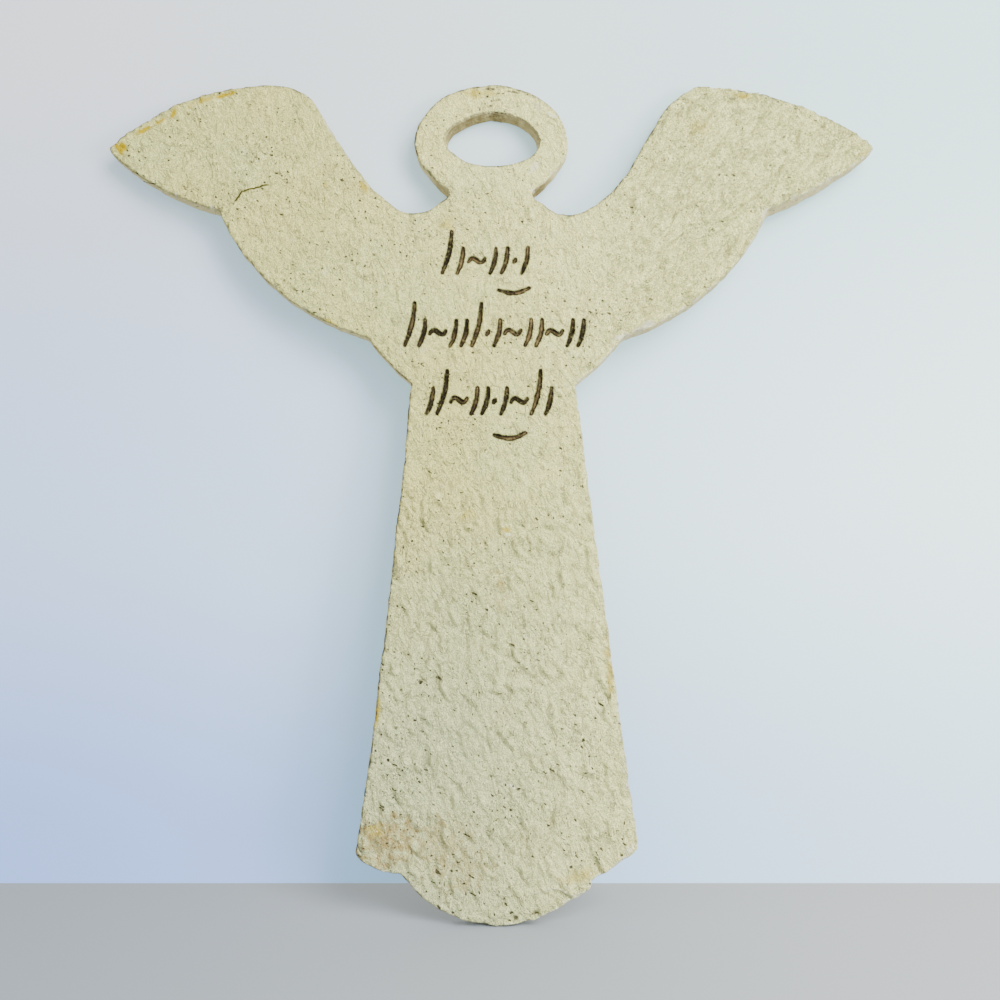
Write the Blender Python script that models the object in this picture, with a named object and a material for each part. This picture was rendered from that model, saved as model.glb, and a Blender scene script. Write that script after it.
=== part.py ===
# Angel wall plaque: one flat cast slab with spread wings, a ring halo and a scalloped hem.
# The front faces -Y and the flat back lies on the wall plane y = 0. The origin is on the back, mid chest.
import math

import bmesh
import bpy

MM = 0.001

# Driving dimensions in millimetres. Heights are counted up from the lowest point of the hem.
THICKNESS = 5.5
CHEST_HEIGHT = 205.0
EDGE_ROUND = 0.9
EDGE_STEPS = 2
RUN_STEP = 2.9
STRAIGHT_BELOW = 0.001
SHARPEST_MITRE = 0.5

HALO_HEIGHT = 275.0
HALO_REACH = 28.4
HALO_RISE = 23.4
HALO_STEPS = 12

HOLE_CENTRE = (0.5, 277.0)
HOLE_REACH = 17.6
HOLE_RISE = 10.6
HOLE_DRAFT = 0.7
HOLE_STEPS = 48

# Each half runs from the halo's side down to the hem: distance out from the axis, height, and the bow
# of the run that ends there, which is how far its middle stands out from a straight line.
LEFT_HALF = {
    "halo cheek": (25.5, 267.4, 0.4),
    "neck": (16.2, 256.5, 0.5),
    "cove": (34.0, 249.8, -4.2),
    "inner wing": (50.6, 267.1, -1.2),
    "wing root": (63.8, 288.5, -0.2),
    "wing crest": (76.8, 298.0, 1.7),
    "outer wing": (128.5, 283.2, 4.7),
    "wing tip": (140.6, 273.7, 0.4),
    "tip underside": (139.8, 271.4, 0.2),
    "long feather end": (99.8, 249.2, 2.7),
    "short feather end": (44.4, 201.8, 8.0),
    "waist": (28.5, 184.6, 0.8),
    "skirt corner": (44.8, 26.0, -0.6),
    "skirt foot": (43.2, 20.4, 1.2),
    "side scallop end": (29.8, 16.0, 0.7),
}
RIGHT_HALF = {
    "halo cheek": (25.6, 267.2, 0.5),
    "neck": (16.0, 256.3, 0.4),
    "cove": (34.5, 249.2, -4.4),
    "inner wing": (51.6, 266.1, -1.5),
    "wing root": (64.4, 288.5, 0.3),
    "wing crest": (77.4, 297.4, 1.2),
    "outer wing": (128.0, 283.0, 3.5),
    "wing tip": (140.6, 273.6, 0.8),
    "tip underside": (139.8, 271.8, 0.2),
    "long feather end": (101.8, 249.0, 1.9),
    "short feather end": (47.4, 201.4, 7.4),
    "waist": (30.1, 184.2, 0.7),
    "skirt corner": (49.4, 27.5, -0.2),
    "skirt foot": (47.6, 22.6, 0.9),
    "side scallop end": (34.3, 14.5, 0.2),
}
# The middle scallop of the hem, from the left notch: x, height and bow. A chip is out of its right flank.
HEM = {
    "hem bottom": (1.5, 0.0, 3.8),
    "chip start": (20.0, 4.2, 1.3),
    "chip end": (33.2, 11.4, 0.4),
}

# Three rows of shallow strokes on the chest: the row's middle across, the height of its middle, its width,
# its marks, and the middle of the long sweep under it where it has one.
STROKE_WIDTH = 2.1
STROKE_DEPTH = 0.7
STROKE_PROUD = 0.12
STROKE_TAPER = 0.75
STROKE_STEP = 1.0
STROKE_ROWS = (
    {"across": -2.2, "height": 233.0, "width": 33.0, "sweep": (8.3, 219.4),
     "marks": "tall low wave low low dot low"},
    {"across": 1.3, "height": 206.0, "width": 66.0, "sweep": None,
     "marks": "tall low wave low low tall dot low wave low low wave low low"},
    {"across": -0.6, "height": 181.0, "width": 46.0, "sweep": (6.8, 166.2),
     "marks": "low tall wave low low dot low wave tall low"},
)
# Each mark's room along the row, and its strokes: length along the row and up it, sideways bow, sway,
# and how far the stroke's middle stands above the row's.
MARKS = {
    "tall": {"room": 5.2, "strokes": ((3.4, 15.6, -0.8, 0.0, 0.4),)},
    "low": {"room": 4.0, "strokes": ((2.2, 9.4, -0.6, 0.0, -2.8),)},
    "wave": {"room": 7.4, "strokes": ((5.8, 1.2, 0.0, 1.1, -2.6),)},
    "dot": {"room": 3.0, "strokes": ((0.6, 1.2, 0.0, 0.0, -2.8),)},
    "sweep": {"room": 0.0, "strokes": ((11.0, 0.8, -1.5, 0.0, 0.0),)},
}

STONE_COLOUR = (0.62, 0.58, 0.42, 1.0)
STONE_ROUGHNESS = 0.85


def clear_scene():
    for item in list(bpy.data.objects):
        bpy.data.objects.remove(item, do_unlink=True)


def bowed_run(start, end, bow):
    """Points after start up to end on the arc whose middle stands bow to the left of the way."""
    across, up = end[0] - start[0], end[1] - start[1]
    chord = math.hypot(across, up)
    steps = max(1, round(chord / RUN_STEP))
    if abs(bow) < STRAIGHT_BELOW:
        shares = [k / steps for k in range(1, steps + 1)]
        return [(start[0] + across * share, start[1] + up * share) for share in shares]
    radius = (chord * chord / 4 + bow * bow) / (2 * abs(bow))
    half_angle = 2 * math.atan2(2 * abs(bow), chord)
    points = []
    for k in range(1, steps + 1):
        angle = half_angle * (2 * k / steps - 1)
        along = chord / 2 + radius * math.sin(angle)
        out = math.copysign(radius * (math.cos(angle) - math.cos(half_angle)), bow)
        points.append((start[0] + (across * along - up * out) / chord,
                       start[1] + (up * along + across * out) / chord))
    return points


def half_outline(half):
    """One half as (out, height) points, from just past the halo's top to the end of the side scallop."""
    points = []
    for k in range(1, HALO_STEPS + 1):
        angle = math.pi / 2 * k / HALO_STEPS
        points.append((HALO_REACH * math.sin(angle), HALO_HEIGHT + HALO_RISE * math.cos(angle)))
    for out, height, bow in half.values():
        points += bowed_run(points[-1], (out, height), bow)
    return points


def slab_outline():
    """The whole outline as (x, height) points, counter-clockwise as seen from the front."""
    left = [(-out, height) for out, height in half_outline(LEFT_HALF)]
    right = half_outline(RIGHT_HALF)
    hem = [left[-1]]
    for x, height, bow in HEM.values():
        hem += bowed_run(hem[-1], (x, height), -bow)
    return [(0.0, HALO_HEIGHT + HALO_RISE)] + left + hem[1:] + right[::-1]


def hole_outline(shrink):
    """The hole as (x, height) points, clockwise as seen from the front."""
    points = []
    for k in range(HOLE_STEPS):
        angle = -2 * math.pi * k / HOLE_STEPS
        points.append((HOLE_CENTRE[0] + (HOLE_REACH - shrink) * math.cos(angle),
                       HOLE_CENTRE[1] + (HOLE_RISE - shrink) * math.sin(angle)))
    return points


def inset(points, distance):
    """The closed loop moved to its left, into the material, by distance."""
    moved = []
    count = len(points)
    for k in range(count):
        before, here, after = points[k - 1], points[k], points[(k + 1) % count]
        first = (here[0] - before[0], here[1] - before[1])
        second = (after[0] - here[0], after[1] - here[1])
        a = (-first[1] / math.hypot(*first), first[0] / math.hypot(*first))
        b = (-second[1] / math.hypot(*second), second[0] / math.hypot(*second))
        middle = (a[0] + b[0], a[1] + b[1])
        share = max(SHARPEST_MITRE, (middle[0] ** 2 + middle[1] ** 2) / 2)
        moved.append((here[0] + distance * middle[0] / share, here[1] + distance * middle[1] / share))
    return moved


def rim_loops(front, back):
    """Pairs of (points, depth from the front) from the flat front, over the rounded edge, to the back."""
    loops = []
    for k in range(EDGE_STEPS + 1):
        angle = math.pi / 2 * k / EDGE_STEPS
        loops.append((inset(front, EDGE_ROUND * (1 - math.sin(angle))), EDGE_ROUND * (1 - math.cos(angle))))
    loops.append((back, THICKNESS))
    return loops


def slab_mesh():
    """The slab with its rounded front edges, and with the hole through the halo."""
    shape = bmesh.new()
    rims = []
    outside = rim_loops(slab_outline(), slab_outline())
    hole = rim_loops(hole_outline(0.0), hole_outline(HOLE_DRAFT))
    for loops in (outside, hole):
        rings = []
        for points, depth in loops:
            ring = []
            for x, height in points:
                place = (x * MM, (depth - THICKNESS) * MM, (height - CHEST_HEIGHT) * MM)
                ring.append(shape.verts.new(place))
            rings.append(ring)
        for upper, lower in zip(rings, rings[1:]):
            for k in range(len(upper)):
                shape.faces.new((upper[k - 1], lower[k - 1], lower[k], upper[k]))
        rims.append((rings[0], rings[-1]))
    for end, facing in ((0, (0, -1, 0)), (1, (0, 1, 0))):
        edges = []
        for rim in rims:
            ring = rim[end]
            edges += [shape.edges.get((ring[k - 1], ring[k])) for k in range(len(ring))]
        bmesh.ops.triangle_fill(shape, use_beauty=True, edges=edges, normal=facing)
    bmesh.ops.recalc_face_normals(shape, faces=shape.faces)
    mesh = bpy.data.meshes.new("angel_plaque")
    shape.to_mesh(mesh)
    shape.free()
    return mesh


def stroke_path(stroke, x, height):
    """The middle line of one stroke as (x, height, width share) points."""
    along, up, bow, sway, lift = stroke
    length = math.hypot(along, up)
    steps = max(2, round(length / STROKE_STEP))
    path = []
    for k in range(steps + 1):
        t = k / steps
        aside = bow * math.sin(math.pi * t) + sway * math.sin(2 * math.pi * t)
        share = STROKE_TAPER + (1 - STROKE_TAPER) * math.sin(math.pi * t)
        path.append((x + along * (t - 0.5) - up * aside / length,
                     height + lift + up * (t - 0.5) + along * aside / length, share))
    return path


def row_paths(row):
    """The paths of all of a row's strokes, with its marks spread over its width."""
    kinds = row["marks"].split()
    stretch = row["width"] / sum(MARKS[kind]["room"] for kind in kinds)
    x = row["across"] - row["width"] / 2
    paths = []
    for kind in kinds:
        own = MARKS[kind]["room"] * stretch
        for stroke in MARKS[kind]["strokes"]:
            paths.append(stroke_path(stroke, x + own / 2, row["height"]))
        x += own
    if row["sweep"]:
        paths.append(stroke_path(MARKS["sweep"]["strokes"][0], *row["sweep"]))
    return paths


def add_groove(shape, path):
    """A three-sided tapered bar along the path, whose lower edge is the bottom of the groove."""
    rings = []
    for k, (x, height, share) in enumerate(path):
        before, after = path[max(k - 1, 0)], path[min(k + 1, len(path) - 1)]
        along = (after[0] - before[0], after[1] - before[1])
        length = math.hypot(*along)
        side = (-along[1] / length, along[0] / length)
        depth = STROKE_DEPTH * share
        reach = STROKE_WIDTH / 2 * share * (depth + STROKE_PROUD) / depth
        ring = []
        for out, level in ((reach, -STROKE_PROUD), (-reach, -STROKE_PROUD), (0.0, depth)):
            place = (x + side[0] * out, level - THICKNESS, height + side[1] * out - CHEST_HEIGHT)
            ring.append(shape.verts.new([value * MM for value in place]))
        rings.append(ring)
    for one, two in zip(rings, rings[1:]):
        for k in range(3):
            shape.faces.new((one[k - 1], one[k], two[k], two[k - 1]))
    shape.faces.new(rings[0])
    shape.faces.new(rings[-1][::-1])


def groove_cutter():
    shape = bmesh.new()
    for row in STROKE_ROWS:
        for path in row_paths(row):
            add_groove(shape, path)
    bmesh.ops.recalc_face_normals(shape, faces=shape.faces)
    mesh = bpy.data.meshes.new("groove_cutter")
    shape.to_mesh(mesh)
    shape.free()
    cutter = bpy.data.objects.new("groove_cutter", mesh)
    bpy.context.scene.collection.objects.link(cutter)
    cutter.hide_render = True
    cutter.display_type = "WIRE"
    return cutter


def cast_stone():
    material = bpy.data.materials.new("cast_stone")
    material.use_nodes = True
    shader = material.node_tree.nodes["Principled BSDF"]
    shader.inputs["Base Color"].default_value = STONE_COLOUR
    shader.inputs["Roughness"].default_value = STONE_ROUGHNESS
    shader.inputs["Metallic"].default_value = 0.0
    return material


def build():
    clear_scene()
    plaque = bpy.data.objects.new("angel_plaque", slab_mesh())
    bpy.context.scene.collection.objects.link(plaque)
    plaque.data.materials.append(cast_stone())
    cut = plaque.modifiers.new("strokes", "BOOLEAN")
    cut.operation = "DIFFERENCE"
    cut.solver = "EXACT"
    cut.object = groove_cutter()


build()
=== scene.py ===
import math

import bpy
import numpy as np
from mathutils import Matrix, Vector, kdtree
from mathutils.geometry import delaunay_2d_cdt


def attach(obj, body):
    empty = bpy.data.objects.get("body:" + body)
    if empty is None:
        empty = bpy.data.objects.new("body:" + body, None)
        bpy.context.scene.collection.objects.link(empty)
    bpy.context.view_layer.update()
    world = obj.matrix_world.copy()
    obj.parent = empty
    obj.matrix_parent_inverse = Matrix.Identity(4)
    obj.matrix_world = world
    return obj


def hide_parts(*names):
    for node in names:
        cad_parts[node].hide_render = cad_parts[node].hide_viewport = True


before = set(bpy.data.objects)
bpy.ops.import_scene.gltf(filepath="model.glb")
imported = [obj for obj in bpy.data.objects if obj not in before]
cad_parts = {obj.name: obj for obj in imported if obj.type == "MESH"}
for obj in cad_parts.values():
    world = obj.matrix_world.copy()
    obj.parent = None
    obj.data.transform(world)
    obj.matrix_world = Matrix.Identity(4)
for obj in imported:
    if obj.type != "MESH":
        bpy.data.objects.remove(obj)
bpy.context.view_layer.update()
mm = 0.001

# Everything below is worked out in millimetres: x across, h up from the middle of the chest.
slab = {
    "thickness": 5.5,
    "holeWider": 0.7,          # the front rim of the hole stands outside the solid's back rim
    "holeDraft": 1.05,         # and it narrows by this much toward the back
    "holeMiddle": (0.5, 72.0),
    "holeReach": (17.6, 10.6),
    # share of the reach at each angle, because the hole was trimmed by hand
    "holeShape": (
        (-180, 1.01), (-157, 0.995), (-145, 0.965), (-132, 0.985), (-120, 1.0), (-90, 0.99),
        (-54, 1.015), (-43, 1.035), (-31, 1.03), (-5, 1.0), (8, 0.975), (22, 0.957), (35, 0.954),
        (60, 0.975), (74, 1.0), (93, 1.005), (113, 0.955), (125, 0.93), (135, 0.94), (146, 0.952),
        (156, 0.978), (169, 0.992), (180, 1.01)),
    "outlineStep": 0.70,       # mesh spacing along the edges
    "frontStep": 0.76,         # mesh spacing on the face
    "backStep": 3.2,
    "stalkStep": 0.20,
    "flakeStep": 0.36,
    "pitStep": 0.32,
    "edgeRings": (0.16, 0.42, 0.80),             # rows of mesh points along the edges, in from them
    "wallLevels": (0.82, 0.62, 0.42, 0.22),      # and along the walls, as shares of the thickness
    "gridClear": 1.25,         # how far the even grid keeps from the edges
    "fineClear": 0.9,
    "strokeClear": 1.6,
    "backClear": 2.0,
    "edgeRound": 0.42,         # usual rounding of the front edge
    # where the front edge stands back from the back one: middle, reach, how far
    "drawnIn": (
        ((-15.4, 52.1), 7.0, 1.1), ((15.3, 52.1), 7.0, 1.1), ((-22.0, 57.0), 6.0, 0.3),
        ((22.0, 57.0), 6.0, 0.5), ((99.7, 42.3), 8.0, 1.3), ((110.0, 47.0), 9.0, 1.1),
        ((122.0, 54.0), 9.0, 0.8), ((-97.0, 44.0), 8.0, 0.5), ((-108.0, 49.0), 9.0, 0.4),
        ((-36.0, -55.0), 26.0, 0.5), ((-40.0, -100.0), 34.0, 0.6), ((-43.0, -145.0), 30.0, 0.6)),
    "edgeRagged": 0.24,        # how far the cast edge wanders
    "wallRough": 0.10,
    "backRough": 0.06,
    "backRound": 0.35,
    "chipPlace": (2.5, 82.5),  # chipped top rim of the hole
    "seed": 11,
}

camera = {
    "place": (0.00328, -0.3545, -0.10895),
    "pitchUp": 7.6,
    "lens": 36.108,
    "sensor": 36.0,
    "nearest": 0.01,
}


# Noise that comes out the same at every run, because each call gives its own seed.
def latticeNoise(u, v, seed):
    turns = np.random.default_rng(seed).uniform(0, 2 * math.pi, (256, 256))
    slopeU, slopeV = np.cos(turns), np.sin(turns)
    cellU, cellV = np.floor(u).astype(int), np.floor(v).astype(int)
    fracU, fracV = u - cellU, v - cellV

    def corner(a, b):
        p, q = (cellU + a) % 256, (cellV + b) % 256
        return slopeU[p, q] * (fracU - a) + slopeV[p, q] * (fracV - b)

    easeU = fracU ** 3 * (fracU * (fracU * 6 - 15) + 10)
    easeV = fracV ** 3 * (fracV * (fracV * 6 - 15) + 10)
    low = corner(0, 0) * (1 - easeU) + corner(1, 0) * easeU
    high = corner(0, 1) * (1 - easeU) + corner(1, 1) * easeU
    return 1.5 * (low * (1 - easeV) + high * easeV)


def layeredNoise(x, h, size, seed, layers=3):
    total, strength = 0.0, 1.0
    for k in range(layers):
        total = total + strength * latticeNoise(x / size + 7.3 * k, h / size - 3.1 * k, seed + k)
        size, strength = size / 2.1, strength * 0.5
    return total


def grainNoise(x, h, degrees, along, across, seed):
    c, s = math.cos(math.radians(degrees)), math.sin(math.radians(degrees))
    u, v = (x * c + h * s) / along, (h * c - x * s) / across
    return latticeNoise(u + 40, v + 40, seed)


def easeBetween(value, start, end):
    share = np.clip((value - start) / (end - start), 0, 1)
    return share * share * (3 - 2 * share)


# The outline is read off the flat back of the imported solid.
def backLoops(node):
    ids, places = {}, []
    weld = []
    for vertex in node.data.vertices:
        key = tuple(round(value * 1e5) for value in vertex.co)
        if key not in ids:
            ids[key] = len(places)
            places.append((vertex.co.x / mm, vertex.co.z / mm))
        weld.append(ids[key])
    edges = set()
    for face in node.data.polygons:
        if all(abs(node.data.vertices[v].co.y) < 1e-5 for v in face.vertices):
            ring = [weld[v] for v in face.vertices]
            edges.update(zip(ring, ring[1:] + ring[:1]))
    following = {a: b for a, b in edges if (b, a) not in edges}
    loops = []
    while following:
        start = at = min(following)
        loop = []
        while at in following:
            loop.append(places[at])
            at = following.pop(at)
        loops.append(np.array(loop))
    loops.sort(key=len, reverse=True)
    return loops


def smoothLoop(points, step):
    # spline through the points, then even spacing
    count = len(points)
    t = np.arange(12) / 12
    before, here, after, last = (np.roll(points, n, axis=0)[:, None] for n in (1, 0, -1, -2))
    t = t[None, :, None]
    curve = 0.5 * (2 * here + (after - before) * t
                   + (2 * before - 5 * here + 4 * after - last) * t ** 2
                   + (3 * here - before - 3 * after + last) * t ** 3)
    curve = curve.reshape(count * 12, 2)
    closed = np.vstack([curve, curve[:1]])
    length = np.concatenate([[0], np.cumsum(np.hypot(*np.diff(closed, axis=0).T))])
    even = np.arange(round(length[-1] / step)) * length[-1] / round(length[-1] / step)
    return np.stack([np.interp(even, length, closed[:, k]) for k in (0, 1)], 1)


def loopArea(points):
    after = np.roll(points, -1, axis=0)
    return 0.5 * np.sum(points[:, 0] * after[:, 1] - points[:, 1] * after[:, 0])


def inwardNormals(points):
    way = np.roll(points, -1, axis=0) - np.roll(points, 1, axis=0)
    way = way + 0.5 * (np.roll(way, 1, axis=0) + np.roll(way, -1, axis=0))
    way /= np.hypot(*way.T)[:, None]
    return np.stack([-way[:, 1], way[:, 0]], 1)


# Strokes on the chest, the same rows as in the solid.
strokes = {
    "width": 2.1, "depth": 0.72, "taper": 0.75, "step": 0.40,
    "chestHeight": 205.0,      # of the middle of the chest above the foot of the hem
    "burr": 0.10,              # low lip beside each groove
    "rows": (
        {"across": -2.2, "height": 233.0, "width": 33.0, "sweep": (8.3, 219.4),
         "marks": "tall low wave low low dot low"},
        {"across": 1.3, "height": 206.0, "width": 66.0, "sweep": None,
         "marks": "tall low wave low low tall dot low wave low low wave low low"},
        {"across": -0.6, "height": 181.0, "width": 46.0, "sweep": (6.8, 166.2),
         "marks": "low tall wave low low dot low wave tall low"},
    ),
    # room along the row, then each stroke: along, up, bow, sway, lift
    "marks": {
        "tall": {"room": 5.2, "strokes": ((3.4, 15.6, -0.8, 0.0, 0.4),)},
        "low": {"room": 4.0, "strokes": ((2.2, 9.4, -0.6, 0.0, -2.8),)},
        "wave": {"room": 7.4, "strokes": ((5.8, 1.2, 0.0, 1.1, -2.6),)},
        "dot": {"room": 3.0, "strokes": ((0.6, 1.2, 0.0, 0.0, -2.8),)},
        "sweep": {"room": 0.0, "strokes": ((11.0, 0.8, -1.5, 0.0, 0.0),)},
    },
}


def strokeLine(stroke, x, height):
    along, up, bow, sway, lift = stroke
    length = math.hypot(along, up)
    t = np.linspace(0, 1, max(4, round(length / strokes["step"])) + 1)
    aside = bow * np.sin(math.pi * t) + sway * np.sin(2 * math.pi * t)
    share = strokes["taper"] + (1 - strokes["taper"]) * np.sin(math.pi * t)
    return np.stack([x + along * (t - 0.5) - up * aside / length,
                     height + lift + up * (t - 0.5) + along * aside / length - strokes["chestHeight"],
                     share], 1)


def strokeLines():
    lines = []
    for row in strokes["rows"]:
        kinds = row["marks"].split()
        stretch = row["width"] / sum(strokes["marks"][kind]["room"] for kind in kinds)
        x = row["across"] - row["width"] / 2
        for kind in kinds:
            own = strokes["marks"][kind]["room"] * stretch
            for stroke in strokes["marks"][kind]["strokes"]:
                lines.append(strokeLine(stroke, x + own / 2, row["height"]))
            x += own
        if row["sweep"]:
            lines.append(strokeLine(strokes["marks"]["sweep"]["strokes"][0], *row["sweep"]))
    return lines


def stripPoints(line):
    # rows of mesh points along a stroke, and half rings round its ends
    way = np.gradient(line[:, :2], axis=0)
    way /= np.hypot(*way.T)[:, None]
    aside = np.stack([-way[:, 1], way[:, 0]], 1)
    half = strokes["width"] / 2 * line[:, 2:]
    spots = [line[:, :2] + share * half * aside
             for share in (-1.32, -1.06, -0.8, -0.42, 0.0, 0.42, 0.8, 1.06, 1.32)]
    for end, out in ((0, -1), (-1, 1)):
        for share, count in ((0.42, 2), (0.8, 4), (1.06, 5), (1.32, 6)):
            angles = np.linspace(0, math.pi, count + 2)[1:-1, None]
            turned = np.cos(angles) * aside[end] + np.sin(angles) * out * way[end]
            spots.append(line[end, :2] + share * half[end] * turned)
    return np.vstack(spots)


def lineDistance(points, line):
    # distance to the line, and the width share at the nearest spot
    best = np.full(len(points), 1e9)
    share = np.ones(len(points))
    for a, b in zip(line, line[1:]):
        way = b[:2] - a[:2]
        t = np.clip((points - a[:2]) @ way / (way @ way), 0, 1)
        far = np.hypot(*(points - a[:2] - t[:, None] * way).T)
        nearer = far < best
        best = np.where(nearer, far, best)
        share = np.where(nearer, a[2] + (b[2] - a[2]) * t, share)
    return best, share


def grooves(points, lines):
    depth, stain, middle = np.zeros(len(points)), np.zeros(len(points)), np.zeros(len(points))
    for number, line in enumerate(lines):
        low, high = line[:, :2].min(0) - 2.5, line[:, :2].max(0) + 2.5
        near = np.where(np.all((points > low) & (points < high), axis=1))[0]
        if not len(near):
            continue
        far, share = lineDistance(points[near], line)
        worn = 1 + 0.16 * latticeNoise(points[near, 0] / 2.2 + number, points[near, 1] / 2.2, 50)
        half = strokes["width"] / 2 * share * worn
        inside = np.clip(1 - far / half, 0, 1)
        cut = strokes["depth"] * share * np.sin(math.pi / 2 * np.clip(inside * 1.25, 0, 1)) ** 1.4
        burr = strokes["burr"] * np.exp(-((far - half - 0.25) / 0.3) ** 2)
        depth[near] = np.maximum(depth[near], cut) - np.where(inside > 0, 0, burr)
        stain[near] = np.maximum(stain[near], easeBetween(far, half + 0.34, half - 0.32))
        middle[near] = np.maximum(middle[near], easeBetween(inside, 0.42, 0.9))
    return depth, stain, middle


# Relief of the face.
relief = {
    "robe": {"degrees": 108, "along": 7.0, "across": 2.9, "height": 1.42},
    "rightWing": {"degrees": 42, "along": 8.5, "across": 2.7, "height": 1.70},
    "leftWing": {"degrees": 70, "along": 3.4, "across": 2.5, "height": 0.76},
    "halo": {"degrees": 120, "along": 3.4, "across": 2.6, "height": 0.36},
    "chest": {"degrees": 120, "along": 3.6, "across": 2.6, "height": 0.66},
    "peel": 0.30, "peelSize": 1.7,               # fine orange peel over everything
    "swell": 0.40, "swellSize": 21,              # slow unevenness
    "warp": 1.3, "warpSize": 6.5,                # how far the folds wander
    "creaseWidth": 0.07,
    "sink": 0.3,               # brings the skin's middle back to the solid's face
}


def regionShares(x, h):
    robe = easeBetween(h, -25, -70)
    right = easeBetween(x, 30, 62) * (1 - robe)
    left = easeBetween(-x, 40, 75) * (1 - robe)
    halo = easeBetween(h, 44, 56) * easeBetween(np.abs(x), 32, 26)
    return {"robe": robe, "rightWing": right, "leftWing": left, "halo": halo,
            "chest": 1 - robe - right - left - halo}


def faceRelief(x, h):
    # returns the height of the cast skin and how deep in a crease each spot lies
    warpX = x + relief["warp"] * layeredNoise(x, h, relief["warpSize"], 21, 2)
    warpH = h + relief["warp"] * layeredNoise(x, h, relief["warpSize"], 31, 2)
    total = relief["swell"] * layeredNoise(x, h, relief["swellSize"], 41, 2)
    crease = np.zeros(len(x))
    for number, (name, share) in enumerate(regionShares(x, h).items()):
        grain = relief[name]
        folds = grainNoise(warpX, warpH, grain["degrees"], grain["along"], grain["across"], 60 + number)
        fine = grainNoise(warpX, warpH, grain["degrees"] + 14, grain["along"] / 2.2, grain["across"] / 1.9,
                          70 + number)
        total = total + share * grain["height"] * (1.15 * np.abs(folds) + 0.35 * folds
                                                   + 0.45 * np.abs(fine))
        deep, thin = (np.exp(-(noise / relief["creaseWidth"]) ** 2) for noise in (folds, fine))
        crease = crease + share * np.maximum(deep, 0.6 * thin)
    total = total + relief["peel"] * latticeNoise(warpX / relief["peelSize"],
                                                  warpH / relief["peelSize"], 81)
    return total - relief["sink"], crease


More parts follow.
